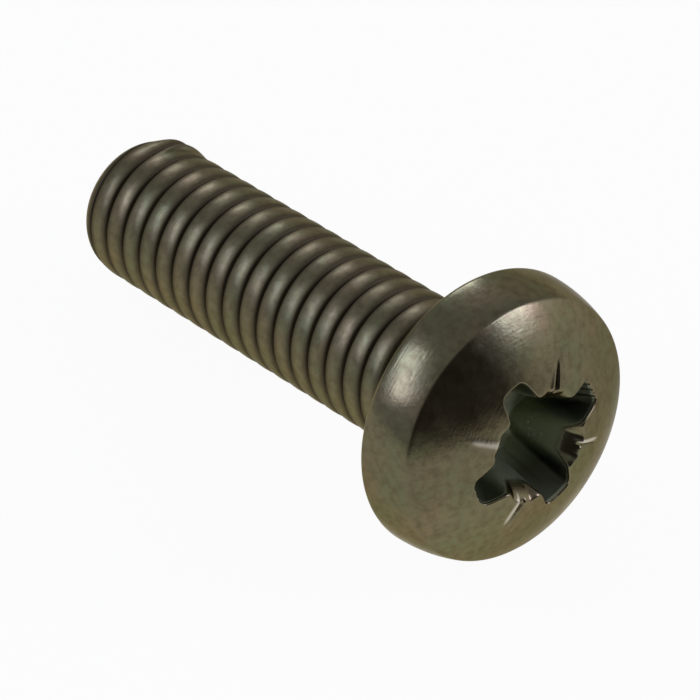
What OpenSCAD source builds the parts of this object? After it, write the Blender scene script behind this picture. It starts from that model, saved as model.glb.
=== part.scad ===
// Pan head machine screw with a type Z cross recess, rolled thread close up to the head.
// It lies on its side as it comes to rest: the rim of the head and the crests near the tip touch z = 0.
// The axis lies in the XZ plane, with the head towards +X.

/* [Thread] */
// Outer diameter over the crests, at the head end
thread_d = 2.94; // [2.7:0.02:3.2]
// Distance from one turn to the next
pitch = 0.5; // [0.4:0.05:0.7]
// Depth from crest to root
thread_depth = 0.2; // [0.1:0.01:0.3]
// Width of the root of the narrow groove between two turns
root_w = 0.04; // [0.02:0.01:0.05]
// Width of the broad, slightly bowed crest
crest_w = 0.34; // [0.1:0.01:0.34]
// How much higher the middle of the crest is than its edges
crest_round = 0.03; // [0:0.005:0.06]
// How much thinner the thread is at the tip, on the diameter
thread_taper = 0.1; // [0:0.01:0.2]
// Turn of the thread about the axis of the screw
thread_turn = 335; // [0:5:355]

/* [Shank] */
// Length from the tip to the bearing face of the head
shank_l = 10; // [5:0.5:18]
// Diameter of the plain neck under the head
neck_d = 2.6; // [2.3:0.02:2.8]
// Length of the plain neck
neck_l = 0.7; // [0.4:0.05:1.5]
// Length over which the thread fades out towards the neck
runout_l = 0.6; // [0.2:0.05:1.5]
// Diameter of the flat end of the tip
tip_d = 1.9; // [1.6:0.02:2.6]
// Length of the rounded point
tip_l = 1; // [0.2:0.05:1.2]

/* [Head] */
// Diameter of the head
head_d = 5.58; // [4.8:0.02:6]
// Height of the head, to the crown without the recess
head_h = 1.98; // [1.8:0.02:2.4]
// Height of the crease between the bowed side and the domed crown
side_h = 1.13; // [0.8:0.01:1.3]
// How far the side has come in at the crease, on the radius
side_in = 0.165; // [0.05:0.005:0.4]
// Radius of the rim beside the bearing face
rim_r = 0.15; // [0.05:0.01:0.3]
// Fillet between the neck and the bearing face, wide enough that the thread stays inside the flat ring
fillet_r = 0.25; // [0.2:0.01:0.35]

/* [Recess] */
// Distance across the tips of the wings, at the mouth
recess_d = 2.98; // [2.4:0.02:3.2]
// Depth from the mouth to the ends of the wings
recess_depth = 1.3; // [0.8:0.05:1.5]
// Width of a wing
wing_w = 0.66; // [0.4:0.02:0.9]
// Lean of the outer edge of a wing from the axis
wing_lean = 26.5; // [15:0.5:30]
// Distance across the flats of the middle of the recess, at the mouth
core_w = 1.9; // [1.4:0.05:2.2]
// Lean of the flats of the middle from the axis
core_lean = 16; // [5:1:25]
// Depth of the shallow cone at the bottom
point_depth = 0.15; // [0.05:0.01:0.3]
// Distance across two opposite tick marks on the crown
tick_d = 3.4; // [3:0.05:3.8]
// Width of a tick mark
tick_w = 0.09; // [0.05:0.01:0.2]
// Depth of a tick mark
tick_depth = 0.08; // [0.04:0.01:0.15]
// Turn of the recess about the axis of the screw
recess_turn = 16; // [0:1:90]

/* [Hidden] */
$fn = 96;
// Flat sides round the thread, which lies with the middle of one side down
sides = 30;
// How far the shank is let into the head, and cuts pass a surface
overlap = 0.25;

thread_r = thread_d / 2;
neck_r = neck_d / 2;
head_r = head_d / 2;
fade_top = shank_l - neck_l;

// Points of one turn of the thread: place along the pitch and depth below the crest
crest_mid = (pitch + root_w) / 2;
TURN = [
    [0, thread_depth],
    [root_w, thread_depth],
    [crest_mid - crest_w / 2, crest_round],
    [crest_mid, 0],
    [crest_mid + crest_w / 2, crest_round]
];
per_turn = len(TURN);
rows = per_turn * (ceil((shank_l + overlap) / pitch) + 3);

// Radius of the rounded point at a height above the tip, and no limit above the point
function point_r(z) =
    z < tip_l ? tip_d / 2 + (thread_r - tip_d / 2) * sqrt(1 - pow(1 - z / tip_l, 2)) : thread_r;

// Share of the thread's depth that is left at a height, 1 in the full thread and 0 in the neck
function fade(z) = min(1, max(0, (fade_top - z) / runout_l));

// Height of a row of points on one side of the shank: a right-hand helix from side to side
function row_z(side, row) =
    pitch * (floor(row / per_turn) - 1 + side / sides - thread_turn / 360) + TURN[row % per_turn][0];

// Radius of the screw at a row of points, thread, neck and point together
function row_r(z, row) =
    let (taper = thread_taper / 2 * (1 - z / shank_l))
    let (full = thread_r - taper - TURN[row % per_turn][1])
    min(point_r(z), neck_r + (full - neck_r) * fade(z));

// Lowest and highest row of a side that lie on the end faces
function low_row(side) = max([for (m = [0:rows - 1]) if (row_z(side, m) <= 0) m]);
function high_row(side) = min([for (m = [0:rows - 1]) if (row_z(side, m) >= shank_l + overlap) m]);

function shank_point(side, row) =
    let (z = min(shank_l + overlap, max(0, row_z(side, row))))
    let (a = 360 * (side + 0.5) / sides)
    let (r = row_r(z, row))
    [r * cos(a), r * sin(a), z];

// Shank with its thread, tip down at z = 0, as one skin of helical rows
module shank() {
    low = [for (s = [0:sides - 1]) low_row(s)];
    high = [for (s = [0:sides - 1]) high_row(s)];
    points = [for (s = [0:sides - 1]) for (m = [0:rows - 1]) shank_point(s, m)];
    // Index of a point, with rows beyond an end face brought back to that face
    function at(s, m) = s * rows + min(high[s], max(low[s], m));
    // The side after the last is the first one, one turn further on
    function next(s, m) = s + 1 < sides ? at(s + 1, m) : at(0, m + per_turn);
    skin = [
        for (s = [0:sides - 1])
            for (m = [0:rows - 2])
                each [
                    [at(s, m), next(s, m + 1), next(s, m)],
                    [at(s, m), at(s, m + 1), next(s, m + 1)]
                ]
    ];
    whole = [for (t = skin) if (t[0] != t[1] && t[1] != t[2] && t[2] != t[0]) t];
    tip_face = [for (s = [0:sides - 1]) at(s, 0)];
    top_face = [for (s = [sides - 1:-1:0]) at(s, rows - 1)];
    polyhedron(points, concat(whole, [tip_face, top_face]), convexity = 10);
}

// Crease between side and crown, as radius and height above the bearing face
crease = [head_r - side_in, side_h];
// The side is an arc that starts upright at the rim and comes in as far as the crease
side_r = (pow(side_in, 2) + pow(side_h - rim_r, 2)) / (2 * side_in);
// The crown is a ball through the crease and the top
crown_r = (pow(crease[0], 2) + pow(head_h - side_h, 2)) / (2 * (head_h - side_h));
crown_z = head_h - crown_r;

// Half section of the head, with the bearing face on y = 0
module head_section() {
    // Inner part, up to the height of the crease
    polygon([
        [0, 0],
        [head_r - rim_r, 0],
        [head_r - rim_r, rim_r],
        [head_r, rim_r],
        crease,
        [0, crease[1]]
    ]);
    translate([head_r - rim_r, rim_r])
        circle(rim_r);
    intersection() {
        translate([head_r - side_r, rim_r])
            circle(side_r);
        translate([0, rim_r])
            square([head_r, crease[1] - rim_r]);
    }
    intersection() {
        translate([0, crown_z])
            circle(crown_r);
        translate([0, crease[1]])
            square([crease[0], head_h]);
    }
    // Fillet under the head, let into the flats of the shank
    inset = neck_r * (1 - cos(180 / sides)) + fillet_r / 8;
    difference() {
        translate([0, -fillet_r])
            square([neck_r + fillet_r - inset, fillet_r + rim_r / 2]);
        translate([neck_r + fillet_r - inset, -fillet_r])
            circle(fillet_r);
    }
}

// Height of the crown above the bearing face at a distance from the axis
function crown_at(r) = crown_z + sqrt(pow(crown_r, 2) - pow(r, 2));

mouth_z = crown_at(recess_d / 2);
floor_z = mouth_z - recess_depth;
cut_top = head_h + overlap;

// Half width at a height of a cut that has this half width at the mouth and leans in going down
function leaning(half, lean, z) = half + (z - mouth_z) * tan(lean);

// Bar across the axis, with both ends leaning in
module leaning_bar(half, lean, width) {
    bottom = leaning(half, lean, floor_z);
    top = leaning(half, lean, cut_top);
    rotate([90, 0, 0])
        translate([0, 0, -width / 2])
            linear_extrude(width)
                polygon([[-bottom, floor_z], [bottom, floor_z], [top, cut_top], [-top, cut_top]]);
}

// Tick marks on the crown, which run on as shallow grooves down the flats of the recess
module tick_bar() {
    half = core_w / 2 + tick_depth;
    bottom = leaning(half, core_lean, floor_z);
    edge = leaning(half, core_lean, crown_at(half) - tick_depth);
    rotate([90, 0, 0])
        translate([0, 0, -tick_w / 2])
            linear_extrude(tick_w)
                polygon([
                    [-bottom, floor_z],
                    [bottom, floor_z],
                    [edge, crown_at(half) - tick_depth],
                    [tick_d / 2, crown_at(tick_d / 2)],
                    [tick_d / 2, cut_top],
                    [-tick_d / 2, cut_top],
                    [-tick_d / 2, crown_at(tick_d / 2)],
                    [-edge, crown_at(half) - tick_depth]
                ]);
}

// Everything that the driver recess takes out of the head
module recess() {
    for (a = [0, 90])
        rotate(a) {
            leaning_bar(recess_d / 2, wing_lean, wing_w);
            rotate(45)
                tick_bar();
        }
    intersection() {
        rotate(45)
            leaning_bar(core_w / 2, core_lean, head_d);
        rotate(-45)
            leaning_bar(core_w / 2, core_lean, head_d);
    }
    translate([0, 0, floor_z - point_depth])
        cylinder(h = point_depth, r1 = 0, r2 = leaning(core_w / 2, core_lean, floor_z));
}

// The whole screw standing on its tip
module upright() {
    difference() {
        union() {
            shank();
            translate([0, 0, shank_l])
                rotate_extrude()
                    head_section();
        }
        translate([0, 0, shank_l])
            rotate(recess_turn)
                recess();
    }
}

// Lean of the axis at which a line along the table touches the rim and a point of the shank
rim_c = [shank_l + rim_r, head_r - rim_r];
function lean_on(z, r) =
    let (dz = rim_c[0] - z)
    let (dr = rim_c[1] - r)
    atan2(dr, dz) + asin(rim_r / norm([dz, dr]));

// The screw comes down until the first of its lowest points touches
facing_down = cos(180 / sides);
tilt = min([
    for (s = [0, sides - 1])
        for (m = [0:rows - 1])
            let (z = row_z(s, m))
            if (z > 0 && z < fade_top)
                lean_on(z, row_r(z, m) * facing_down)
]);

// Shift that puts the rim on z = 0 and the middle of the length over the origin.
// The furthest point of the head is on the edge of the recess, and of the shank on the edge of the tip.
lift = rim_r + rim_c[1] * cos(tilt) - rim_c[0] * sin(tilt);
back_x = -tip_d / 2 * sin(tilt);
front_x = max([
    for (a = [45:90:315])
        (shank_l + crown_at(core_w / 2)) * cos(tilt) + core_w / 2 * cos(recess_turn + a) * sin(tilt)
]);

module machine_screw() {
    color([0.32, 0.3, 0.22])
        translate([-(front_x + back_x) / 2, 0, lift])
            rotate([0, 90 - tilt, 0])
                upright();
}

machine_screw();
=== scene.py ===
import math
import bpy
import numpy as np
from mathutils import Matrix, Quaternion, Vector


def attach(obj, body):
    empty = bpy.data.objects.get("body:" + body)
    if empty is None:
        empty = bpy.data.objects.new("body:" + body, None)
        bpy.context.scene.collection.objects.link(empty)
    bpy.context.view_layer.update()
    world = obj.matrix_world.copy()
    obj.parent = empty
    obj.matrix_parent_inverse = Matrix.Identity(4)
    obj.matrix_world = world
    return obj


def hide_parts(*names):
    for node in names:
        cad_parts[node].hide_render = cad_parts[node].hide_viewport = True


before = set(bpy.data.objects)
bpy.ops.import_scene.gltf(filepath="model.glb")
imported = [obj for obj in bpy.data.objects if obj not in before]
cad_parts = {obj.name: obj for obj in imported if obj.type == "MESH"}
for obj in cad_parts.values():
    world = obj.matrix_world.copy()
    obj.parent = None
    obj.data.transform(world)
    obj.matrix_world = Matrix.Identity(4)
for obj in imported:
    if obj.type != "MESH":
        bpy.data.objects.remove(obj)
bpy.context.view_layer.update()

print("frame loaded")

mm = 0.001  # in metres
perMetre = 1000.0  # mm in a metre

# The screw: lengths in mm and angles in degrees.
# Height runs along the screw's own axis from the tip; an angle of 0 is the side that lies down.
screw = {
    "lean": 8.273,  # the axis climbs this much from tip to head
    "tipX": -5.8687,  # where the middle of the tip end lies
    "tipZ": 1.302,
    "length": 10.0,  # tip to bearing face
    "threadRadius": 1.47,
    "pitch": 0.5,
    "grooveDepth": 0.07,
    "grooveHalf": 0.06,  # half of the groove's opening between two broad crests
    "crestBend": 1.1,  # how sharply a crest is bowed across, per mm
    "crestShift": 0.05,  # how far its highest line lies from its middle, towards the tip
    "threadPhase": 0.66,  # share of a turn by which the crest is moved
    "thinnerTip": 0.05,
    "tipRadius": 0.95,
    "tipLength": 1.0,
    "tipProud": 0.02,  # how far the rounded point stands outside its curve
    "tipMeeting": 0.05,  # how round it meets the thread
    "tipCup": 0.1,
    "cupPower": 1.5,  # a higher power flattens the cup at its edge
    "neckRadius": 1.3,
    "threadEnd": 9.3,
    "fadeLength": 0.6,
    "filletRadius": 0.25,
    "filletReach": 0.88,  # how far the fillet reaches out, as a share of its height
    "headRadius": 2.79,
    "headHeight": 1.98,
    "creaseRadius": 2.625,  # the crease between the bowed side and the crown
    "creaseHeight": 1.13,
    "creaseRound": 0.05,
    "rimRadius": 0.15,
}

# The lip where the thread starts: its direction and half width, and the heights that it runs between
lip = {
    "turn": 148.0,
    "width": 13.0,
    "start": 0.3,
    "end": 1.02,
    "endSlope": 0.1,
    "height": 0.09,
}

# The driver recess; reaches are at the height of the mouth, where the wings end in the crown
recess = {
    "turn": 16.0,  # direction of the first wing
    "wingReach": (1.47, 1.51, 1.49, 1.5),
    "wingHalf": ((0.33, 0.33), (0.33, 0.33), (0.33, 0.33), (0.43, 0.33)),  # towards smaller and larger angles
    "wingLean": 26.5,
    "wingDraft": 0.03,
    "coreHalf": 0.9,  # distance of the flats from the axis
    "coreLean": 16.0,
    "depth": 1.3,
    "pointDepth": 0.15,
    "wingRound": (9.0, 14.0, 5.5, 6.0),  # a higher power gives sharper corners at the wing's end
    "landRound": 11.0,
    "landEdge": (11.0, 27.0),  # angles from a land's middle between which its edge passes into a wing's
    "mouthSoft": (0.035, 0.2),  # how far the rounded edge reaches out on the crown, wings and lands
    "mouthDrop": (0.045, 0.36),  # and down the wall
    "mouthBend": (1.0, 0.5),  # 1 rounds the edge fully, less leaves a crisp edge at the wall
    "teeth": (0.0, 0.05, 0.0, 0.02),  # how far the ragged end of each wing goes in and out
    "toothWidth": 0.17,
    "toothShift": 0.3,  # in teeth
    "toothRise": (-0.5, -0.1),  # heights above the mouth between which the teeth grow
}

# Marks between the wings: direction, inner and outer end, half width, depth, height of the burr
# and its side, how far the mark bends, and the strength and width of the painted highlight beside it
ticks = (
    {"turn": 61.0, "start": 0.95, "end": 1.78, "half": 0.06, "depth": 0.04,
     "burr": 0.02, "side": 1.0, "bend": 0.0, "paintedGlint": 1.0, "paintedGlintWidth": 0.025},
    {"turn": 153.0, "start": 0.98, "end": 1.7, "half": 0.075, "depth": 0.09,
     "burr": 0.02, "side": 1.0, "bend": 0.0, "paintedGlint": 0.2, "paintedGlintWidth": 0.03},
    {"turn": 240.5, "start": 0.95, "end": 1.8, "half": 0.16, "depth": 0.0,
     "burr": 0.008, "side": 0.0, "bend": 0.0, "paintedGlint": 0.6, "paintedGlintWidth": 0.07},
    {"turn": 331.0, "start": 1.0, "end": 1.8, "half": 0.08, "depth": 0.09,
     "burr": 0.02, "side": -1.0, "bend": 0.25, "paintedGlint": 0.7, "paintedGlintWidth": 0.03},
)

# What all the marks have in common
everyTick = {
    "bendFrom": 1.35,  # distance from the axis at which a bent mark lies on its own line
    "taperFrom": 1.0,  # distance from the axis at which its outer end begins to taper
    "startSlope": 0.2,
    "endSteep": 1.6,  # how much more steeply the depth falls there
    "wallFade": (0.02, 0.14),  # depths below the crown between which a mark dies out
    "burrAt": 1.5,  # middle of the burr, in half widths of the mark
    "burrWidth": 0.5,
    "paintedGlintStart": (0.85, 1.05),  # distances from the axis between which the painted highlight begins
    "paintedGlintEnd": (-0.3, 0.02),  # and those from the mark's outer end between which it ends
    "paintedGlintDown": (0.1, 0.3),  # and the depths below the crown
}

# How finely the surface is worked out
finish = {
    "shankColumns": 96,
    "rowsPerTurn": 22,
    "endRings": (0.15, 0.35, 0.55, 0.72, 0.85, 0.94),  # on the tip end, as shares of its radius
    "pointRows": 17,
    "pointTo": 0.3,  # height up to which the point's rows lie close together
    "pastThread": 0.05,
    "neckRows": 7,
    "filletRows": 9,
    "rowSwing": 0.62,  # how strongly the rows gather in the groove
    "swingRise": (0.15, 0.7),  # heights between which they begin to gather
    "swingFade": 0.5,  # length before the thread's end over which they stop
    "middleRing": 1.75,  # radius of the ring between the shank's columns and the head's
    "faceRings": (2.0, 2.3),
    "rimRows": 9,
    "sideRows": 13,
    "creaseRows": 7,
    "crownRows": 37,
    "crownCrowd": 0.9,  # less than 1 brings the crown's rows closer to the recess
    "edgeRows": 13,
    "wallRows": 29,
    "floorRings": (0.94, 0.85, 0.72, 0.56, 0.38, 0.18),
    "mouthRounds": 6,  # how often the outline of the mouth is corrected
    "angleSteps": 7201,
    "markColumns": (2.4, 2.6),  # how many more columns a mark gets, and over what angle
    "wingColumns": (1.0, 3.5),  # and each side of a wing
    "wingSide": 15.0,  # angle from a wing's middle to its side
}


# The smaller of two values with their meeting rounded: half of their sum,
# less half the root of their difference squared plus the rounding squared
def smallerOf(a, b, rounding):
    return 0.5 * (a + b - np.sqrt((a - b) ** 2 + rounding ** 2))


# Goes from 0 to 1 between two values, level at both: three times the share squared less twice its cube
def ease(value, start, end):
    share = np.clip((value - start) / (end - start), 0.0, 1.0)
    return share * share * (3.0 - 2.0 * share)


# A bell of height 1: e to the power of minus half the square of the distance in widths
def bell(distance, width):
    return np.exp(-0.5 * (distance / width) ** 2)


# The first of a pair at a share of 0 and the second at 1, and in a straight line between them
def blended(pair, share):
    return pair[0] + (pair[1] - pair[0]) * share


# A quadratic curve that leaves one value and comes to another, drawn towards a middle one:
# their shares are the squares of what is left and of what is done, and twice the product of both
def drawnTo(share, first, middle, last):
    return (1.0 - share) ** 2 * first + 2.0 * share * (1.0 - share) * middle + share ** 2 * last


# Distance between two angles, always from -180 to 180
def turnTo(angle, target):
    return (angle - target + 180.0) % 360.0 - 180.0


# Angle to the middle of the nearest of the four lands between the wings
def fromLand(angle):
    return np.abs(turnTo(4.0 * angle, 4.0 * (recess["turn"] + 45.0))) / 4.0


# Turns of the thread at a height and an angle: the height in pitches, less the angle's share of a turn
def turnsAt(height, angle):
    return height / screw["pitch"] - angle / 360.0


# Place across a crest, from its middle: the part of a turn that is left over, times the pitch
def placeOnCrest(turns):
    return ((turns - screw["threadPhase"] + 0.5) % 1.0 - 0.5) * screw["pitch"]


# Depth of the thread below its crest: the broad crest falls with the square of the distance from its
# highest line, the groove eases down to its full depth, and both sides are evened out to meet there
def groove(turns):
    place = placeOnCrest(turns)
    into = 1.0 - ease(0.5 * screw["pitch"] - np.abs(place), 0.0, screw["grooveHalf"])
    bow = 0.5 * screw["crestBend"] * (place + screw["crestShift"]) ** 2
    uneven = 0.5 * screw["crestBend"] * screw["crestShift"] * screw["pitch"]
    return bow + into * (screw["grooveDepth"] - np.sign(place) * uneven)


# Share of the thread that is left at a height: 1 up to where it fades, 0 in the neck
def threadLeft(height):
    return 1.0 - ease(height, screw["threadEnd"] - screw["fadeLength"], screw["threadEnd"])


# Radius of the shank at an angle and a height: crest less groove, drawn in to the neck under the head,
# and never outside the rounded point, which is a quarter ellipse; a bell round the axis raises the lip
def shankRadius(angle, height):
    taper = screw["thinnerTip"] * (1.0 - height / screw["length"])
    full = screw["threadRadius"] - taper - groove(turnsAt(height, angle))
    radius = screw["neckRadius"] + (full - screw["neckRadius"]) * threadLeft(height)
    rest = np.clip(1.0 - height / screw["tipLength"], 0.0, 1.0)
    point = screw["tipRadius"] + (screw["threadRadius"] - screw["tipRadius"]) * np.sqrt(1.0 - rest ** 2)
    raised = bell(turnTo(angle, lip["turn"]), lip["width"])
    raised = raised * ease(height, lip["start"], 0.5 * (lip["start"] + lip["end"]))
    raised = raised * (1.0 - ease(height, lip["end"] - lip["endSlope"], lip["end"]))
    return smallerOf(radius, point + screw["tipProud"], screw["tipMeeting"]) + lip["height"] * raised


# Radius of an arc that starts along an axis and moves off it by one length while it runs the other:
# the sum of both squares over twice the first
def arcRadius(off, run):
    return (off ** 2 + run ** 2) / (2.0 * off)


# The crown is a ball through the crease and the top; the side is an arc that starts upright at the rim
crownRadius = arcRadius(screw["headHeight"] - screw["creaseHeight"], screw["creaseRadius"])
sideRadius = arcRadius(
    screw["headRadius"] - screw["creaseRadius"],
    screw["creaseHeight"] - screw["rimRadius"],
)


# Height of the crown above the bearing face at a distance from the axis: a ball seen in section
def crownHeight(radius):
    return screw["headHeight"] - crownRadius + np.sqrt(crownRadius ** 2 - radius ** 2)


mouthHeight = float(crownHeight(recess["wingReach"][0]))
floorHeight = mouthHeight - recess["depth"]


# Distance of the recess wall from the axis at an angle and a height. Each wing is the smaller of its
# end and its side, both met along the ray, with a zigzag added to a ragged end; the recess is the larger
# of the wings and the square core. Sums of powers choose the smaller and the larger, which rounds the
# lines where they meet.
def wallRadius(angle, height):
    above = height - mouthHeight
    core = recess["coreHalf"] + above * math.tan(math.radians(recess["coreLean"]))
    across = np.radians(turnTo(angle, recess["turn"] + 45.0))
    square = core / np.maximum(np.abs(np.cos(across)), np.abs(np.sin(across)))
    total = square ** recess["landRound"]
    sideways = 0.05  # a ray whose cosine to the wing is less than this misses the wing's end
    for number, reach in enumerate(recess["wingReach"]):
        away = np.radians(turnTo(angle, recess["turn"] + 90.0 * number))
        ahead = np.cos(away)
        beside = reach * np.tan(np.clip(away, -1.0, 1.0))
        tooth = np.abs((beside / recess["toothWidth"] + recess["toothShift"]) % 1.0 - 0.5) * 2.0 - 0.5
        reach = reach + recess["teeth"][number] * tooth * ease(above, *recess["toothRise"])
        end = (reach + above * math.tan(math.radians(recess["wingLean"]))) / np.maximum(ahead, sideways)
        half = np.where(away < 0.0, *recess["wingHalf"][number])
        side = (half + recess["wingDraft"] * above) / np.maximum(np.abs(np.sin(away)), 1e-4)
        power = recess["wingRound"][number]
        wing = (end ** -power + side ** -power) ** (-1.0 / power)
        total = total + np.where(ahead > sideways, wing, 0.0) ** recess["landRound"]
    return total ** (1.0 / recess["landRound"])


# Angles of the columns round the head: each takes an equal share of a weight that is high
# beside the wings and on the marks, so that these get more columns
def recessAngles(columns):
    fine = np.linspace(0.0, 360.0, finish["angleSteps"])
    weight = np.ones_like(fine)
    for quarter in range(4):
        wing = recess["turn"] + 90.0 * quarter
        more, spread = finish["markColumns"]
        weight += more * bell(turnTo(fine, wing + 45.0), spread)
        more, spread = finish["wingColumns"]
        before = bell(turnTo(fine, wing - finish["wingSide"]), spread)
        weight += more * (before + bell(turnTo(fine, wing + finish["wingSide"]), spread))
    total = np.concatenate(([0.0], np.cumsum(0.5 * (weight[1:] + weight[:-1]))))
    first = np.interp(recess["turn"], fine, total)
    wanted = first + total[-1] * np.arange(columns) / columns
    twoTurns = np.concatenate((fine, fine[1:] + 360.0))
    return np.interp(wanted, np.concatenate((total, total[1:] + total[-1])), twoTurns)


# Places along and across a mark: the point turned into the mark's direction,
# and a bent mark moved aside by the square of the distance along it
def placeOnMark(mark, x, y):
    turn = math.radians(mark["turn"])
    along = x * math.cos(turn) + y * math.sin(turn)
    across = y * math.cos(turn) - x * math.sin(turn)
    return along, across - mark["bend"] * (everyTick["bendFrom"] - along) ** 2


# Depth of the marks, burrs and dents at points on the head, given by their place across the axis:
# each mark is a groove that tapers to its ends, with a bell beside it for the raised burr,
# and it dies out down the wall of the recess
def markDepth(x, y, height):
    total = np.zeros_like(x)
    for mark in ticks:
        along, across = placeOnMark(mark, x, y)
        left = np.maximum((mark["end"] - along) / (mark["end"] - everyTick["taperFrom"]), 0.0)
        half = mark["half"] * np.sqrt(np.minimum(left, 1.0)) + 1e-4
        run = ease(along, mark["start"], mark["start"] + everyTick["startSlope"])
        run = run * np.minimum(left * everyTick["endSteep"], 1.0)
        run = run * (1.0 - ease(crownHeight(np.hypot(x, y)) - height, *everyTick["wallFade"]))
        cut = np.maximum(0.0, 1.0 - np.abs(across) / half)
        burr = bell(across - mark["side"] * half * everyTick["burrAt"], half * everyTick["burrWidth"])
        total += run * (mark["depth"] * cut - mark["burr"] * burr)
    return total


# How bright the painted highlight beside each mark is: a bell across the mark, as long as the mark
def markPaintedGlint(x, y):
    total = np.zeros_like(x)
    for mark in ticks:
        along, across = placeOnMark(mark, x, y)
        before, past = everyTick["paintedGlintEnd"]
        run = ease(along, *everyTick["paintedGlintStart"])
        run = run * (1.0 - ease(along, mark["end"] + before, mark["end"] + past))
        offset = mark["side"] * mark["half"] * everyTick["burrAt"]
        total += mark["paintedGlint"] * run * bell(across - offset, mark["paintedGlintWidth"])
    return total


# Normals of a grid of points that closes on itself across: the cross product of its two directions
def gridNormals(points):
    around = np.roll(points, -1, axis=1) - np.roll(points, 1, axis=1)
    along = np.gradient(points, axis=0)
    normal = np.cross(around, along)
    return normal / np.maximum(np.linalg.norm(normal, axis=2, keepdims=True), 1e-12)


# How sharply a grid of points bends outward, per mm: the distance from each point down to the middle
# of its neighbours in both directions, over half the square of the distance to them
def sharpness(points):
    normal = gridNormals(points)
    around = 0.5 * (np.roll(points, -1, axis=1) + np.roll(points, 1, axis=1)) - points
    reach = 0.25 * np.sum((np.roll(points, -1, axis=1) - np.roll(points, 1, axis=1)) ** 2, axis=2)
    bend = np.abs(np.sum(around * normal, axis=2)) * 2.0 / np.maximum(reach, 1e-5)
    sign = -np.sign(np.sum(around * normal, axis=2))
    along = np.zeros_like(points)
    along[1:-1] = 0.5 * (points[2:] + points[:-2]) - points[1:-1]
    step = np.ones(points.shape[:2])
    step[1:-1] = 0.25 * np.sum((points[2:] - points[:-2]) ** 2, axis=2)
    rise = -np.sum(along * normal, axis=2) * 2.0 / np.maximum(step, 1e-5)
    return sign * bend + rise


# Points from radius, angle and height, each an array of rows by columns
def ringPoints(radius, angle, height):
    radius, angle, height = np.broadcast_arrays(radius, np.radians(angle), height)
    return np.stack((radius * np.cos(angle), radius * np.sin(angle), height), axis=2)


# Angles of evenly spaced columns, from the first wing's direction all the way round
def evenAngles(columns):
    return recess["turn"] + 360.0 * np.arange(columns)[None, :] / columns


# Heights of level rows moved towards the nearest groove: each by a sine of its place in the pitch,
# with the swing dying out towards the point and the neck
def gathered(level, angle):
    place = 2.0 * np.pi * (turnsAt(level, angle) - screw["threadPhase"])
    swing = finish["rowSwing"] * ease(level, *finish["swingRise"])
    swing = swing * (1.0 - ease(level, screw["threadEnd"] - finish["swingFade"], screw["threadEnd"]))
    return level + swing * screw["pitch"] / (2.0 * np.pi) * np.sin(place)


# Rows of the shank from the middle of the tip end up to the bearing face: shares of the end's radius with
# a shallow cup, rows that lie closest where the point curves most, level rows, and a quarter turn of fillet
def shankRows(columns):
    angle = evenAngles(columns)
    share = np.array(finish["endRings"])[:, None]
    edge = shankRadius(angle, 0.0)
    cup = ringPoints(share * edge, angle, screw["tipCup"] * (1.0 - share ** 2) ** screw["cupPower"])

    pointTo = finish["pointTo"]
    bodyTo = screw["threadEnd"] + finish["pastThread"]
    neckTo = screw["length"] - screw["filletRadius"]
    fine = pointTo * (1.0 - np.cos(0.5 * np.pi * np.linspace(0.0, 1.0, finish["pointRows"])))
    steps = round((bodyTo - pointTo) / screw["pitch"] * finish["rowsPerTurn"])
    body = np.linspace(pointTo, bodyTo, steps + 1)[1:]
    neck = np.linspace(bodyTo, neckTo, finish["neckRows"])[1:]
    height = gathered(np.concatenate((fine, body, neck))[:, None], angle)
    barrel = ringPoints(shankRadius(angle, height), angle, height)

    bend = np.radians(np.linspace(0.0, 90.0, finish["filletRows"])[1:])[:, None]
    fillet = ringPoints(
        screw["neckRadius"] + screw["filletRadius"] * (1.0 - np.cos(bend)) * screw["filletReach"],
        angle,
        screw["length"] - screw["filletRadius"] * (1.0 - np.sin(bend)),
    )
    return np.concatenate((cup, barrel, fillet))


# Rows of the head from the bearing face round the rim and up the side to the start of the crown:
# arcs for rim and side, and a quadratic curve that rounds the crease, all turned about the axis
def headRows(columns):
    rim = np.radians(np.linspace(-90.0, 0.0, finish["rimRows"]))
    rimR = screw["headRadius"] - screw["rimRadius"] * (1.0 - np.cos(rim))
    rimH = screw["rimRadius"] * (1.0 + np.sin(rim))
    last = math.asin((screw["creaseHeight"] - screw["rimRadius"]) / sideRadius)
    bend = np.linspace(0.0, last - screw["creaseRound"] / sideRadius, finish["sideRows"])[1:]
    sideR = screw["headRadius"] - sideRadius * (1.0 - np.cos(bend))
    sideH = screw["rimRadius"] + sideRadius * np.sin(bend)
    innerR = screw["creaseRadius"] - screw["creaseRound"]
    share = np.linspace(0.0, 1.0, finish["creaseRows"])[1:]
    curveR = drawnTo(share, sideR[-1], screw["creaseRadius"], innerR)
    curveH = drawnTo(share, sideH[-1], screw["creaseHeight"], crownHeight(innerR))
    radius = np.concatenate((finish["faceRings"], rimR, sideR, curveR))
    height = np.concatenate((np.zeros(len(finish["faceRings"])), rimH, sideH, curveH))
    return ringPoints(radius[:, None], evenAngles(columns), screw["length"] + height[:, None])


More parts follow.
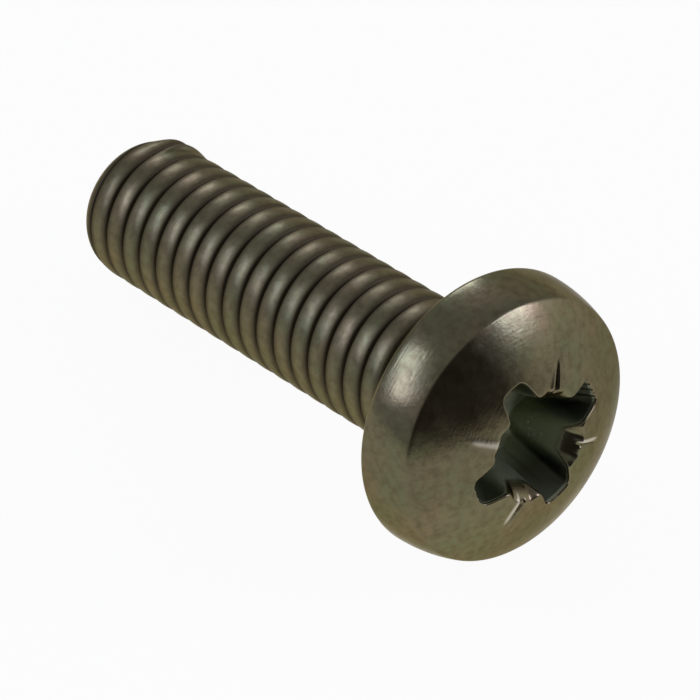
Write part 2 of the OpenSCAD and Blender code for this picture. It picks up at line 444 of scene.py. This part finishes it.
# Rows from the edge of the crown over the mouth of the recess and down its wall to its floor.
# The crown's rows pass evenly from a circle to the outline of the mouth; the edge is a quadratic curve
# from the crown over the meeting line to the wall; the wall's rows are level cuts through the recess.
def crownRows(outer, columns):
    angle = recessAngles(columns)
    radius = np.full(columns, recess["wingReach"][0])
    for _ in range(finish["mouthRounds"]):
        radius = wallRadius(angle, crownHeight(radius))
    ray = np.stack((np.cos(np.radians(angle)), np.sin(np.radians(angle))), axis=1)
    outline = radius[:, None] * ray
    run = np.roll(outline, -1, axis=0) - np.roll(outline, 1, axis=0)
    outward = np.stack((run[:, 1], -run[:, 0]), axis=1) / np.linalg.norm(run, axis=1)[:, None]
    land = 1.0 - ease(fromLand(angle), *recess["landEdge"])

    start = outline + outward * blended(recess["mouthSoft"], land)[:, None]
    share = np.linspace(0.0, 1.0, finish["crownRows"])[1:, None, None] ** finish["crownCrowd"]
    flat = outer[None, :, :2] * (1.0 - share) + start[None] * share
    crown = np.dstack((flat, crownHeight(np.linalg.norm(flat, axis=2))))

    edgeHeight = crownHeight(radius)
    low = edgeHeight - blended(recess["mouthDrop"], land)
    first = crown[-1]
    corner = np.column_stack((outline, edgeHeight))
    middle = first + (corner - first) * blended(recess["mouthBend"], land)[:, None]
    last = np.column_stack((wallRadius(angle, low)[:, None] * ray, low))
    edge = drawnTo(np.linspace(0.0, 1.0, finish["edgeRows"])[1:, None, None], first, middle, last)

    share = np.linspace(0.0, 1.0, finish["wallRows"])[1:, None]
    level = low[None, :] * (1.0 - share) + floorHeight * share
    wall = ringPoints(wallRadius(angle[None, :], level), angle[None, :], level)

    share = np.array(finish["floorRings"])[:, None]
    deeper = floorHeight - recess["pointDepth"] * (1.0 - share)
    bottom = ringPoints(wallRadius(angle, floorHeight) * share, angle[None, :], deeper)

    rows = np.concatenate((crown, edge, wall, bottom))
    sink = markDepth(rows[:, :, 0], rows[:, :, 1], rows[:, :, 2])
    rows = rows - gridNormals(rows) * sink[:, :, None]
    rows[:, :, 2] += screw["length"]
    return rows


# Turns and lifts points from the screw's own axis to where it lies on the floor, in metres:
# the axis leans up by the lean, and an angle of 0 faces down
def laidDown(points):
    lean = math.radians(screw["lean"])
    x, y, h = points[..., 0], points[..., 1], points[..., 2]
    return np.stack((
        screw["tipX"] + x * math.sin(lean) + h * math.cos(lean),
        y,
        screw["tipZ"] - x * math.cos(lean) + h * math.sin(lean),
    ), axis=-1) * mm


# Quads between each row of a grid and the next, closed across: corner numbers as an array
def gridFaces(first, rows, columns):
    number = first + np.arange(rows * columns).reshape(rows, columns)
    beside = np.roll(number, -1, axis=1)
    return np.stack((number[:-1], beside[:-1], beside[1:], number[1:]), axis=2).reshape(-1, 4)


# Triangles from a ring to one of twice as many points
def doublingFaces(inner, outer):
    nextInner = np.roll(inner, -1)
    left, middle, right = outer[0::2], outer[1::2], np.roll(outer[0::2], -1)
    return np.concatenate((
        np.stack((inner, middle, left), axis=1),
        np.stack((inner, nextInner, middle), axis=1),
        np.stack((nextInner, right, middle), axis=1),
    ))


# A smooth mesh from points in metres and the corner numbers of its triangles and quads
def makeMesh(name, points, triangles, quads):
    mesh = bpy.data.meshes.new(name)
    mesh.vertices.add(len(points))
    mesh.vertices.foreach_set("co", points.astype(np.float32).ravel())
    corners = np.concatenate((triangles.ravel(), quads.ravel()))
    mesh.loops.add(len(corners))
    mesh.loops.foreach_set("vertex_index", corners.astype(np.int32))
    sizes = np.concatenate((np.full(len(triangles), 3), np.full(len(quads), 4)))
    starts = np.concatenate(([0], np.cumsum(sizes)[:-1]))
    mesh.polygons.add(len(sizes))
    mesh.polygons.foreach_set("loop_start", starts.astype(np.int32))
    mesh.polygons.foreach_set("loop_total", sizes.astype(np.int32))
    mesh.update(calc_edges=True)
    mesh.validate()
    mesh.shade_smooth()
    return mesh


# Distance walked along the rows from the first one, which the grain of the metal follows
def walked(points):
    step = np.linalg.norm(np.diff(points, axis=0), axis=2)
    return np.concatenate((np.zeros((1, points.shape[1])), np.cumsum(step, axis=0)))


# Values that the steel reads from the mesh
layers = {
    "ringAt": 12.0,  # places along the grain of the ring between shank and head, the head and the floor
    "headAt": 13.0,
    "floorAt": 20.0,
    "shankWear": (3.0, 25.0, 1.0),  # sharpness at which wear starts, how much more it takes, and its most
    "headWear": (1.5, 12.0, 0.35),
    "paintedGlintWear": 2.0,  # wear given to the painted highlight beside the marks
    "grooveWidth": 0.085,
    "grooveStart": 0.3,  # height over which the grooves begin
    "landEdge": (14.0, 28.0),  # angles from a land's middle between which it passes into a wing
    "insideWing": (0.03, 0.1),  # depths below the crown between which the recess begins, in a wing
    "insideLand": (0.3, 0.5),  # and on a land
    "insideTo": 1.7,
    "wingFrom": (0.8, 1.15),  # distances from the axis between which the middle passes into a wing
}


# How worn the rows of a grid are: from 0 to the most as their sharpness goes through its range
def wornEdges(rows, start, more, most):
    return most * np.clip((sharpness(rows).ravel() - start) / more, 0.0, 1.0)


# The layers, each worked out for all points, of which slices belong to the shank and the head:
# grain is the place on a circle round the axis and the distance walked along the surface,
# wear is up to 1 on worn sharp outward edges and 2 for the painted highlight beside the marks,
# inside is 0 on the crown, 1 in the middle of the recess and 2 in its wings, which the steel paints with
# shade, and groove is a bell across the bottom between two crests, where the steel paints shade
def layerValues(points, shank, head, shankPart, headPart):
    circle = np.arctan2(points[:, 1], points[:, 0])
    across = np.hypot(points[:, 0], points[:, 1])
    under = screw["length"] + crownHeight(np.minimum(across, screw["creaseRadius"])) - points[:, 2]

    distance = np.full(len(points), layers["ringAt"])
    distance[0] = 0.0
    distance[shankPart] = walked(shank).ravel()
    distance[headPart] = (walked(head) + layers["headAt"]).ravel()
    distance[-1] = layers["floorAt"]
    grain = np.stack((np.cos(circle), np.sin(circle), distance), axis=1)

    wearAndGlint = np.zeros(len(points))
    wearAndGlint[shankPart] = wornEdges(shank, *layers["shankWear"])
    wearAndGlint[headPart] = wornEdges(head, *layers["headWear"])
    paintedGlint = markPaintedGlint(points[headPart, 0], points[headPart, 1])
    paintedGlint = paintedGlint * (1.0 - ease(under[headPart], *everyTick["paintedGlintDown"]))
    wearAndGlint[headPart] += (layers["paintedGlintWear"] - wearAndGlint[headPart]) * paintedGlint

    land = 1.0 - ease(fromLand(np.degrees(circle)), *layers["landEdge"])
    start, full = (blended(pair, land) for pair in zip(layers["insideWing"], layers["insideLand"]))
    started = ease(under, start, full) * (across < layers["insideTo"])
    inside = started * (1.0 + ease(across, *layers["wingFrom"]))
    inside[:headPart.start] = 0.0

    height = points[shankPart, 2]
    beside = 0.5 * screw["pitch"] - np.abs(placeOnCrest(turnsAt(height, np.degrees(circle[shankPart]))))
    # a bell across each groove, along which the steel paints shade
    deep = np.zeros(len(points))
    fade = ease(height, 0.0, layers["grooveStart"]) * threadLeft(height)
    deep[shankPart] = bell(beside, layers["grooveWidth"]) * fade
    return {"grain": grain, "wearAndGlint": wearAndGlint, "inside": inside, "groove": deep}


# The whole screw as one closed skin: tip, shank and head as grids, joined on the bearing face
# by rings with twice as many points each time
def makeScrew():
    few = finish["shankColumns"]
    many = 4 * few
    shank = shankRows(few)
    ringRadius, ringHeight = np.array([[finish["middleRing"]]]), np.array([[screw["length"]]])
    between = ringPoints(ringRadius, evenAngles(2 * few), ringHeight)
    sides = headRows(many)
    head = np.concatenate((sides, crownRows(sides[-1], many)))

    start = np.array([[0.0, 0.0, screw["tipCup"]]])
    end = np.array([[0.0, 0.0, screw["length"] + floorHeight - recess["pointDepth"]]])
    parts = (start, shank.reshape(-1, 3), between.reshape(-1, 3), head.reshape(-1, 3), end)
    points = np.concatenate(parts)
    firsts = np.concatenate(([0], np.cumsum([len(part) for part in parts])))

    tipRing = firsts[1] + np.arange(few)
    shankEnd = firsts[2] - few + np.arange(few)
    betweenRing = firsts[2] + np.arange(2 * few)
    headRing = firsts[3] + np.arange(many)
    floorRing = firsts[4] - many + np.arange(many)
    triangles = np.concatenate((
        np.stack((np.zeros_like(tipRing), np.roll(tipRing, -1), tipRing), axis=1),
        doublingFaces(shankEnd, betweenRing),
        doublingFaces(betweenRing, headRing),
        np.stack((floorRing, np.roll(floorRing, -1), np.full_like(floorRing, firsts[4])), axis=1),
    ))
    quads = np.concatenate((
        gridFaces(firsts[1], shank.shape[0], few),
        gridFaces(firsts[3], head.shape[0], many),
    ))
    mesh = makeMesh("screw", laidDown(points), triangles, quads)

    values = layerValues(points, shank, head, slice(firsts[1], firsts[2]), slice(firsts[3], firsts[4]))
    for name, value in values.items():
        kind, field = ("FLOAT_VECTOR", "vector") if value.ndim == 2 else ("FLOAT", "value")
        layer = mesh.attributes.new(name, kind, "POINT")
        layer.data.foreach_set(field, value.astype(np.float32).ravel())

    piece = bpy.data.objects.new("screwBody", mesh)
    bpy.context.scene.collection.objects.link(piece)
    print("screw made,", 2 * len(quads) + len(triangles), "triangles")
    return piece


screwBody = makeScrew()
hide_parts("machine_screw")
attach(screwBody, "root")


# Dull steel with an olive cast: colours as a share of the light that the metal mirrors back,
# sizes of the patches and marks in mm, and depths of the marks in mm.
# A range gives the two values of a noise or a layer between which one look passes into the next.
steel = {
    "brown": (0.2, 0.167, 0.1),
    "green": (0.17, 0.173, 0.098),
    "dark": (0.135, 0.116, 0.068),
    "worn": (0.23, 0.205, 0.145),
    # bright metal: partly burnished on the most worn edges, mostly the painted highlight beside the marks
    "burnishedAndGlint": (0.75, 0.72, 0.62),
    "slanting": (0.58, 0.55, 0.47),  # share of full brightness where the metal is seen at a slant
    # painted light: lighter than the steel outside as painted bounce light, with a green cast
    "insideColour": (0.38, 0.42, 0.29),
    # painted shade: the wings of the recess are darker
    "wingShadeColour": (0.1, 0.112, 0.074),
    "grooveShadeColour": (0.075, 0.062, 0.036),  # painted shade between the crests
    "grooveShadeRange": (0.05, 0.95),
    "threadDull": 0.05,  # share of the groove's shade colour mixed evenly into the whole thread
    "patchSize": 0.9,
    "patchRange": (0.38, 0.6),
    "speckSize": 0.16,
    "speckRange": (0.4, 0.75),
    "wornRange": (0.3, 0.6, 0.3, 1.0),  # of the specks, and the least and the full share of the worn edges
    "burnishedAndGlintRange": (0.6, 2.0),  # wear between which the metal turns bright: burnished on the most worn edges, painted highlight beside the marks
    "scratchAt": (4.94, 0.54, 2.49),  # fine scratches on a wall of the recess
    "scratchReach": (0.1, 0.38),
    "scratchSize": 0.07,
    "scratchRange": (0.55, 0.75),
    "scratchColour": (1.0, 1.0, 0.95),
    "blotchSize": 0.54,
    "blotchRange": (0.3, 0.7),
    "roughness": (0.19, 0.29),  # in the smooth and the rough blotches
    "rougher": (0.1, 0.26, 0.3),  # added on the thread, inside the recess and in the grooves
    "streakRound": 5.0,  # how often the tumbling marks change round the axis, and their size along it
    "streakSize": 0.05,
    "streakDepth": 0.002,
    "dentSize": 0.35,
    "dentDepth": 0.0016,
    "fineSize": 0.07,
    "fineDepth": 0.0016,
    "pitSize": 0.75,
    "pitEdge": 0.13,  # radius of a pit, as a share of the pit size
    "pitDepth": 0.006,
}


# A node with its inputs: plain values are set on the sockets, sockets are linked
def node(tree, kind, values=None, **settings):
    made = tree.nodes.new(kind)
    for name, value in settings.items():
        setattr(made, name, value)
    for key, value in (values or {}).items():
        if isinstance(value, bpy.types.NodeSocket):
            tree.links.new(value, made.inputs[key])
        else:
            made.inputs[key].default_value = value
    return made


# Each part of a place multiplied by its own number
def scaled(tree, place, factors):
    return node(tree, "ShaderNodeVectorMath", {0: place, 1: factors}, operation="MULTIPLY").outputs[0]


# Noise between 0 and 1 with features of a size in mm, from a place in metres
def noise(tree, place, size, detail=2.0, stretch=(1.0, 1.0, 1.0)):
    place = scaled(tree, place, tuple(perMetre / size * part for part in stretch))
    values = {"Vector": place, "Scale": 1.0, "Detail": detail, "Roughness": 0.55}
    return node(tree, "ShaderNodeTexNoise", values).outputs[0]


# A value moved from one range to another and held inside it
def ranged(tree, value, low, high, start=0.0, end=1.0):
    return node(tree, "ShaderNodeMapRange", {"Value": value, 1: low, 2: high, 3: start, 4: end}).outputs[0]


# Two colours mixed by a share
def mixed(tree, share, *colours):
    first, second = (
        colour if isinstance(colour, bpy.types.NodeSocket) else (*colour, 1.0)
        for colour in colours
    )
    return node(tree, "ShaderNodeMix", {0: share, 6: first, 7: second}, data_type="RGBA").outputs[2]


# Sums, products and the like of two values
def math2(tree, operation, first, second):
    return node(tree, "ShaderNodeMath", {0: first, 1: second}, operation=operation).outputs[0]


# One number from places, such as their distance, dot product or length
def measured(tree, operation, *places):
    inputs = dict(enumerate(places))
    return node(tree, "ShaderNodeVectorMath", inputs, operation=operation).outputs["Value"]


# A layer of the mesh, as the shader reads it
def meshLayer(tree, name, output="Fac"):
    return node(tree, "ShaderNodeAttribute", attribute_name=name).outputs[output]


# The colour: patches of brown and green that pass into each other, darker specks, paler worn edges,
# a painted highlight beside the marks, a green cast inside the recess made lighter as painted bounce light,
# painted shade in its wings, a few scratches on one wall, and painted shade between the crests
def steelColour(tree, place, thread, wearAndGlint, inside, groove):
    patch = noise(tree, place, steel["patchSize"], 3.0)
    speck = noise(tree, place, steel["speckSize"], 2.0)
    colour = mixed(tree, ranged(tree, patch, *steel["patchRange"]), steel["brown"], steel["green"])
    colour = mixed(tree, ranged(tree, speck, *steel["speckRange"]), colour, steel["dark"])
    edges = math2(tree, "MINIMUM", wearAndGlint, 1.0)
    edges = math2(tree, "MULTIPLY", edges, ranged(tree, speck, *steel["wornRange"]))
    colour = mixed(tree, edges, colour, steel["worn"])
    # the bright metal: burnished on the most worn edges, and a painted highlight beside the marks
    colour = mixed(tree, ranged(tree, wearAndGlint, *steel["burnishedAndGlintRange"]), colour, steel["burnishedAndGlint"])

    # painted light and shade inside the recess: lighter in its middle as painted bounce light, darker in its
    # wings as painted shade
    walls = mixed(tree, ranged(tree, inside, 1.0, 2.0), steel["insideColour"], steel["wingShadeColour"])
    within = math2(tree, "MINIMUM", inside, 1.0)
    colour = mixed(tree, within, colour, walls)
    spot = tuple(mm * part for part in steel["scratchAt"])
    apart = measured(tree, "DISTANCE", place, spot)
    near, far = (mm * part for part in steel["scratchReach"])
    around = math2(tree, "MULTIPLY", within, ranged(tree, apart, near, far, 1.0, 0.0))
    scratch = noise(tree, place, steel["scratchSize"], 2.0)
    scratched = math2(tree, "MULTIPLY", around, ranged(tree, scratch, *steel["scratchRange"]))
    colour = mixed(tree, scratched, colour, steel["scratchColour"])

    # the groove's shade colour mixed evenly into the whole thread
    crests = math2(tree, "MULTIPLY", thread, steel["threadDull"])
    colour = mixed(tree, crests, colour, steel["grooveShadeColour"])
    # painted shade: the bell between the crests darkens the thread
    return mixed(tree, ranged(tree, groove, *steel["grooveShadeRange"]), colour, steel["grooveShadeColour"])


# The roughness: blotches, plus a share for each of the rougher places
def steelRoughness(tree, place, *rougherPlaces):
    blotch = noise(tree, place, steel["blotchSize"], 3.0)
    rough = ranged(tree, blotch, *steel["blotchRange"], *steel["roughness"])
    for share, more in zip(rougherPlaces, steel["rougher"]):
        rough = math2(tree, "ADD", rough, math2(tree, "MULTIPLY", share, more))
    return rough


# The fine relief: streaks along the grain, dents and fine unevenness as heights that are added up,
# less round pits on the thread, all turned into a bump
def steelRelief(tree, place, grain, thread):
    stretch = (steel["streakRound"], steel["streakRound"], 1.0 / steel["streakSize"])
    streak = noise(tree, grain, perMetre, 3.0, stretch)
    fine = noise(tree, place, steel["fineSize"], 2.0)
    dent = noise(tree, place, steel["dentSize"], 2.0)
    cells = scaled(tree, place, (perMetre / steel["pitSize"],) * 3)
    pits = node(tree, "ShaderNodeTexVoronoi", {"Vector": cells, "Scale": 1.0}).outputs["Distance"]
    pit = math2(tree, "MULTIPLY", ranged(tree, pits, 0.0, steel["pitEdge"], 1.0, 0.0), thread)
    height = math2(tree, "MULTIPLY", streak, steel["streakDepth"] * mm)
    marks = (("ADD", dent, "dentDepth"), ("ADD", fine, "fineDepth"), ("SUBTRACT", pit, "pitDepth"))
    for operation, mark, depth in marks:
        height = math2(tree, operation, height, math2(tree, "MULTIPLY", mark, steel[depth] * mm))
    return node(tree, "ShaderNodeBump", {"Strength": 1.0, "Distance": 1.0, "Height": height}).outputs[0]


# The steel's material; the thread's share is 1 on the shank and 0 on the head
def makeSteel():
    material = bpy.data.materials.new("dullSteel")
    material.use_nodes = True
    tree = material.node_tree
    shader = tree.nodes["Principled BSDF"]
    place = node(tree, "ShaderNodeTexCoord").outputs["Object"]
    grain = meshLayer(tree, "grain", "Vector")
    wearAndGlint, inside, groove = (meshLayer(tree, name) for name in ("wearAndGlint", "inside", "groove"))
    alongGrain = node(tree, "ShaderNodeSeparateXYZ", {0: grain}).outputs["Z"]
    thread = ranged(tree, alongGrain, layers["ringAt"], layers["headAt"], 1.0, 0.0)
    within = math2(tree, "MINIMUM", inside, 1.0)
    results = {
        "Base Color": steelColour(tree, place, thread, wearAndGlint, inside, groove),
        "Roughness": steelRoughness(tree, place, thread, within, groove),
        "Normal": steelRelief(tree, place, grain, thread),
    }
    for name, result in results.items():
        tree.links.new(result, shader.inputs[name])
    shader.inputs["Metallic"].default_value = 1.0
    shader.inputs["Specular Tint"].default_value = (*steel["slanting"], 1.0)
    return material


screwBody.data.materials.append(makeSteel())
print("steel made")

# The room: an even grey, with a pale wall low down on the viewer's right, three weak glows beside
# the lamps and a dark part on the viewer's side.
# Each part has a direction and the angles from it at which it starts and is full; later ones cover earlier.
room = {
    "colour": (0.32, 0.32, 0.34),
    "seen": (0.98, 0.98, 0.98),  # behind the table, as the camera sees it
}
roomParts = {
    "pale": {
        "azimuth": 150.0, "elevation": -22.0, "start": 54.0, "full": 38.0, "colour": (0.85, 0.83, 0.8),
    },
    "behind": {
        "azimuth": -146.0, "elevation": 14.0, "start": 26.0, "full": 12.0, "colour": (0.46, 0.45, 0.44),
    },
    "backGlow": {
        "azimuth": -128.0, "elevation": 38.0, "start": 22.0, "full": 8.0, "colour": (0.5, 0.5, 0.56),
    },
    "leftGlow": {
        "azimuth": -30.0, "elevation": 12.0, "start": 30.0, "full": 10.0, "colour": (0.36, 0.37, 0.42),
    },
    "dark": {
        "azimuth": 66.0, "elevation": 10.0, "start": 60.0, "full": 42.0, "colour": (0.045, 0.04, 0.042),
    },
}

# Soft boxes: direction from the screw and lean in degrees, distance and size in metres,
# and how bright each looks
lamps = (
    {
        "name": "leftLamp", "azimuth": -39.0, "elevation": 35.0, "lean": -42.0,
        "distance": 0.5, "size": (0.3, 0.14), "bright": 4.9, "colour": (0.68, 0.73, 1.0),
    },
    {
        "name": "rightLamp", "azimuth": 135.0, "elevation": 32.5, "lean": 0.0,
        "distance": 0.5, "size": (0.18, 0.19), "bright": 6.8, "colour": (0.74, 0.7, 1.0),
    },
    {
        "name": "backLamp", "azimuth": -122.0, "elevation": 24.0, "lean": 0.0,
        "distance": 0.5, "size": (0.12, 0.11), "bright": 7.2, "colour": (0.72, 0.72, 1.0),
    },
)


# Unit vector towards an azimuth, counted from the front to the right, and an elevation:
# sine and cosine of the first times the cosine of the second, and the second's sine
def towards(azimuth, elevation):
    azimuth, elevation = math.radians(azimuth), math.radians(elevation)
    level = math.cos(elevation)
    return Vector((math.sin(azimuth) * level, -math.cos(azimuth) * level, math.sin(elevation)))


# White table: plain diffuse, and for the camera mostly an even white, so that it stays white round the screw
# but keeps the screw's shadow;
# the metal mirrors a glow with painted light, brighter close to the screw, and painted dark far off towards
# the dark part of the room
table = {
    "size": 3.0,
    "colour": (0.9, 0.9, 0.88),
    "seen": (1.0, 1.0, 1.0),
    "even": 0.95,  # share of the even white that the camera sees
    "evenMirrored": 0.42,  # and the metal mirrors, close by and far off
    "evenFar": 0.97,
    "mirrored": (1.12, 1.08, 0.96),  # the paper as the metal mirrors it, a painted glow a little brighter and warmer than the camera sees
    "paintedGlowNear": (1.85, 1.76, 1.5),  # painted light: the paper glows brighter in reflections close to the screw
    "nearShape": (0.55, 1.0, 0.0),  # distance counts less along the screw
    "nearFrom": (0.003, 0.0065),
    # painted dark reflection: far off towards the dark part of the room the paper mirrors nearly black
    "paintedDarkFar": (0.06, 0.055, 0.05),
    "farFrom": (0.02, 0.045),  # metres towards the dark part of the room over which it gets dark
}


# The table: one large square, which the camera sees almost evenly white
def makeTable():
    half = table["size"] / 2
    mesh = bpy.data.meshes.new("table")
    corners = [(-half, -half, 0), (half, -half, 0), (half, half, 0), (-half, half, 0)]
    mesh.from_pydata(corners, [], [(0, 1, 2, 3)])
    material = bpy.data.materials.new("whiteTable")
    material.use_nodes = True
    tree = material.node_tree
    tree.nodes.clear()
    diffuse = node(tree, "ShaderNodeBsdfDiffuse", {"Color": (*table["colour"], 1.0)})
    rays = node(tree, "ShaderNodeLightPath").outputs
    place = node(tree, "ShaderNodeTexCoord").outputs["Object"]

    way = tuple(towards(roomParts["dark"]["azimuth"], 0.0))
    along = measured(tree, "DOT_PRODUCT", place, way)
    far = ranged(tree, along, *table["farFrom"])
    flat = scaled(tree, place, table["nearShape"])
    away = measured(tree, "LENGTH", flat)
    # painted light and shade for reflections: brighter close to the screw, dark far off
    close = mixed(tree, ranged(tree, away, *table["nearFrom"]), table["paintedGlowNear"], table["mirrored"])
    mirrored = mixed(tree, far, close, table["paintedDarkFar"])
    paper = mixed(tree, rays["Is Glossy Ray"], table["seen"], mirrored)
    even = node(tree, "ShaderNodeEmission", {"Color": paper, "Strength": 1.0})

    farMirrored = math2(tree, "MULTIPLY", rays["Is Glossy Ray"], far)
    fixed = ranged(tree, farMirrored, 0.0, 1.0, table["evenMirrored"], table["evenFar"])
    mirroredShare = math2(tree, "MULTIPLY", rays["Is Glossy Ray"], fixed)
    seen = math2(tree, "MAXIMUM", rays["Is Camera Ray"], rays["Is Transmission Ray"])
    share = math2(tree, "MAXIMUM", math2(tree, "MULTIPLY", seen, table["even"]), mirroredShare)
    mix = node(tree, "ShaderNodeMixShader", {0: share, 1: diffuse.outputs[0], 2: even.outputs[0]})
    node(tree, "ShaderNodeOutputMaterial", {"Surface": mix.outputs[0]})
    mesh.materials.append(material)
    piece = bpy.data.objects.new("table", mesh)
    bpy.context.scene.collection.objects.link(piece)
    return piece


makeTable()


# A soft box facing the screw; its power is its brightness times its area times pi
def makeLamp(lamp):
    light = bpy.data.lights.new(lamp["name"], "AREA")
    light.shape = "RECTANGLE"
    light.size, light.size_y = lamp["size"]
    light.energy = lamp["bright"] * math.pi * lamp["size"][0] * lamp["size"][1]
    light.color = lamp["colour"]
    piece = bpy.data.objects.new(lamp["name"], light)
    away = towards(lamp["azimuth"], lamp["elevation"])
    lean = Quaternion((0.0, 0.0, 1.0), math.radians(lamp["lean"]))
    piece.location = away * lamp["distance"]
    piece.rotation_mode = "QUATERNION"
    piece.rotation_quaternion = away.to_track_quat("Z", "Y") @ lean
    bpy.context.scene.collection.objects.link(piece)


for lamp in lamps:
    makeLamp(lamp)


# The world's colour from the cosine of the angle between a ray and each part's direction
def makeRoom():
    world = bpy.data.worlds.new("studio")
    bpy.context.scene.world = world
    world.use_nodes = True
    tree = world.node_tree
    ray = node(tree, "ShaderNodeTexCoord").outputs["Generated"]
    colour = room["colour"]
    for part in roomParts.values():
        way = tuple(towards(part["azimuth"], part["elevation"]))
        cosine = measured(tree, "DOT_PRODUCT", ray, way)
        start, full = (math.cos(math.radians(part[name])) for name in ("start", "full"))
        colour = mixed(tree, ranged(tree, cosine, start, full), colour, part["colour"])
    seen = node(tree, "ShaderNodeLightPath").outputs["Is Camera Ray"]
    tree.links.new(mixed(tree, seen, colour, room["seen"]), tree.nodes["Background"].inputs["Color"])


makeRoom()
print("studio lit")

# The camera stands where the photograph was taken: angles in degrees, lengths in mm
cameraPlace = {
    "azimuth": 48.97,
    "elevation": 42.23,
    "aim": (2.0791, -1.3019, 3.5621),
    "distance": 113.9,
    "lens": 319.61,
    "sensor": 36.0,
    "clip": (10.0, 10000.0),  # nearest and furthest that it sees
}


# The camera looks at its aim from a distance along its direction
def makeCamera():
    back = towards(cameraPlace["azimuth"], cameraPlace["elevation"])
    data = bpy.data.cameras.new("camera")
    data.lens = cameraPlace["lens"]
    data.sensor_width = cameraPlace["sensor"]
    data.clip_start, data.clip_end = (mm * part for part in cameraPlace["clip"])
    piece = bpy.data.objects.new("camera", data)
    piece.location = (Vector(cameraPlace["aim"]) + back * cameraPlace["distance"]) * mm
    piece.rotation_mode = "QUATERNION"
    piece.rotation_quaternion = back.to_track_quat("Z", "Y")
    bpy.context.scene.collection.objects.link(piece)
    bpy.context.scene.camera = piece


makeCamera()
bpy.context.scene.view_settings.view_transform = "Standard"
print("camera placed")
